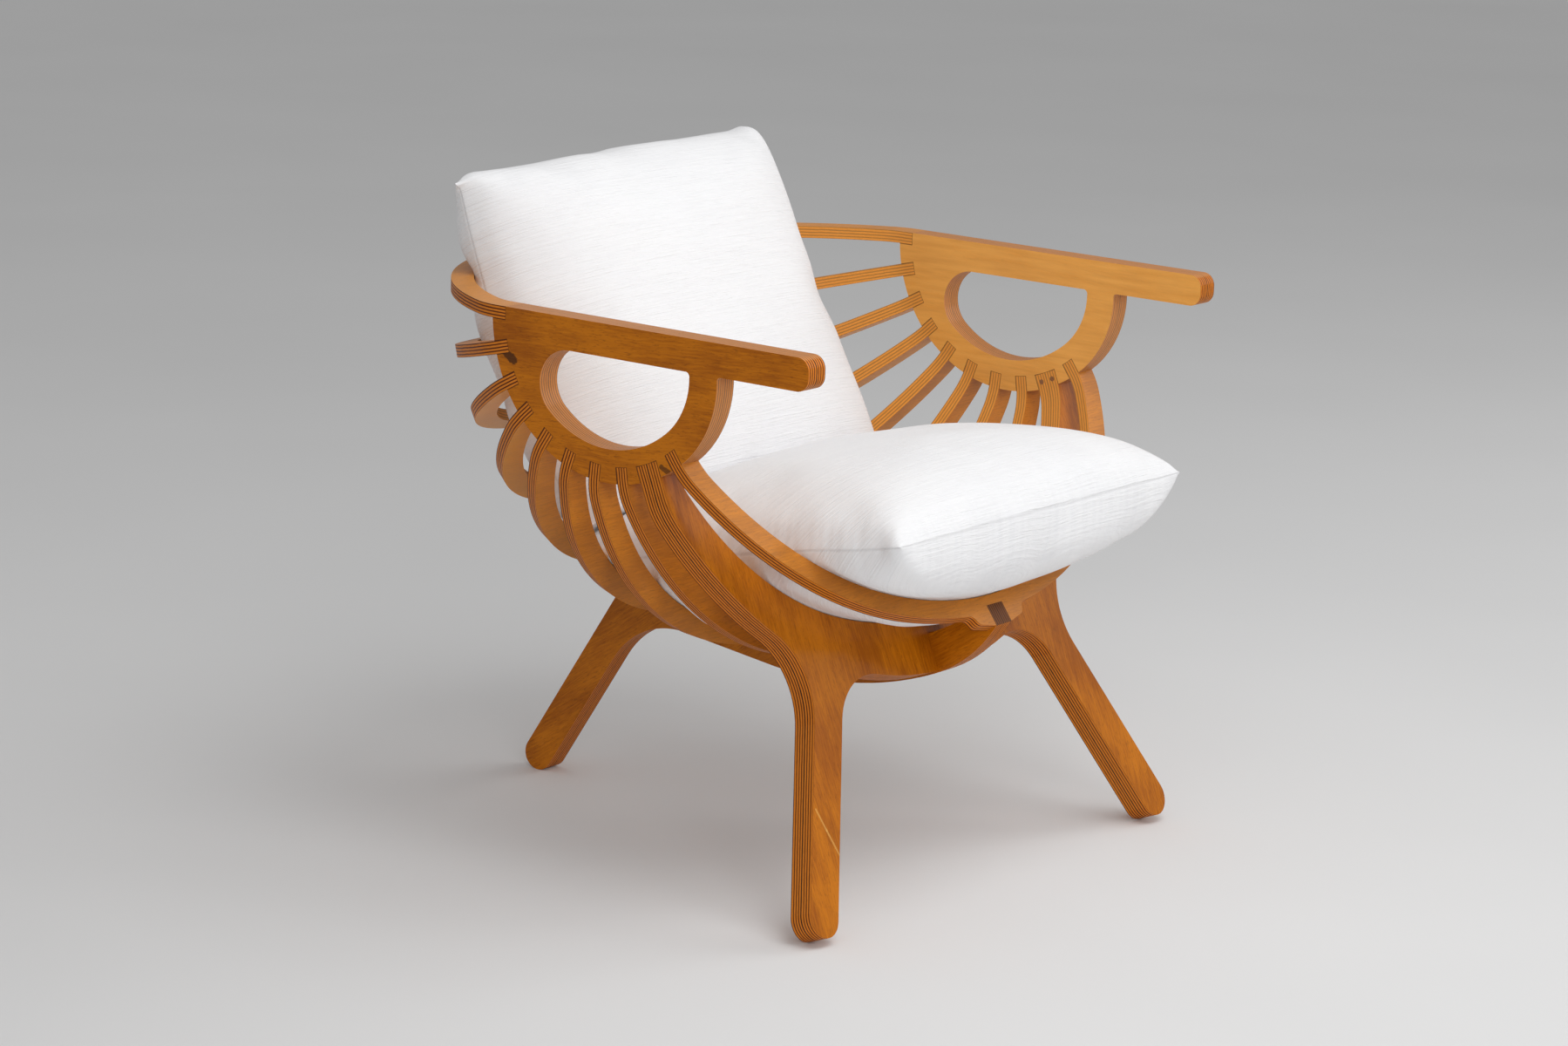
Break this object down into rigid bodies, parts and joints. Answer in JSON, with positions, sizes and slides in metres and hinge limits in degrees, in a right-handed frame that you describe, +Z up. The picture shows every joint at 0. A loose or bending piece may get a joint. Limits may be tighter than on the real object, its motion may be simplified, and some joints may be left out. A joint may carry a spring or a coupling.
{
  "type": "lounge chair",
  "caption": "Low lounge chair with curved plywood ribs that fan out between arm panels and carry loose seat and back cushions, on splayed front legs and a rear leg.",
  "frame": {"origin": "on the floor, in the middle of the chair's width and depth", "axes": "+Z up, -Y the way the chair faces, +X across it to the right as seen from the front"},
  "size_m": [0.75, 0.7304, 0.7496],
  "materials": {
    "plywood": "satin stained birch plywood with striped edges",
    "pin_wood": "satin",
    "linen": "matt woven linen",
    "filling": "matt"
  },
  "bodies": {
    "root": {"side_panel_left": "plywood", "side_panel_right": "plywood", "top_rail": "plywood", "rib_1": "plywood", "rib_2": "plywood", "rib_3": "plywood", "rib_4": "plywood", "rib_5": "plywood", "rib_6": "plywood", "rib_7": "plywood", "leg_frame": "plywood", "front_rib": "plywood", "spine_rear_leg": "plywood", "leg_frame_pins": "pin_wood", "seat_cushion_cover": "linen", "seat_cushion_pad": "filling", "back_cushion_cover": "linen", "back_cushion_pad": "filling"}
  },
  "joints": []
}
